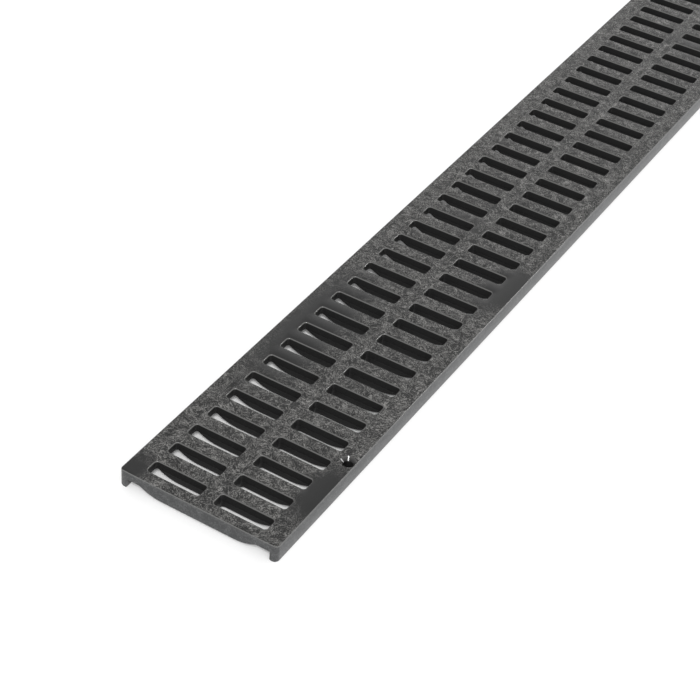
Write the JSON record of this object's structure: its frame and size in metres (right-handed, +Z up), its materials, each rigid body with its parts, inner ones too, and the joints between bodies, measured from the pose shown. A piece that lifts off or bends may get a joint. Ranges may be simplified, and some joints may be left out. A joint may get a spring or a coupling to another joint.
{
  "type": "channel drain grate",
  "caption": "Moulded plastic slotted grate that drops into a narrow linear drain channel and is screwed down through its edges.",
  "frame": {"origin": "middle of the plan, on the plane that the two side lips stand on", "axes": "+Y along the grate's length, +X across the channel, +Z up out of the trafficked face"},
  "size_m": [0.0698, 0.9056, 0.0079],
  "materials": {
    "black_plastic": "moulded black plastic, fine mottled grain on the top, smoother sides"
  },
  "bodies": {
    "root": {"grate": "black_plastic"}
  },
  "joints": []
}
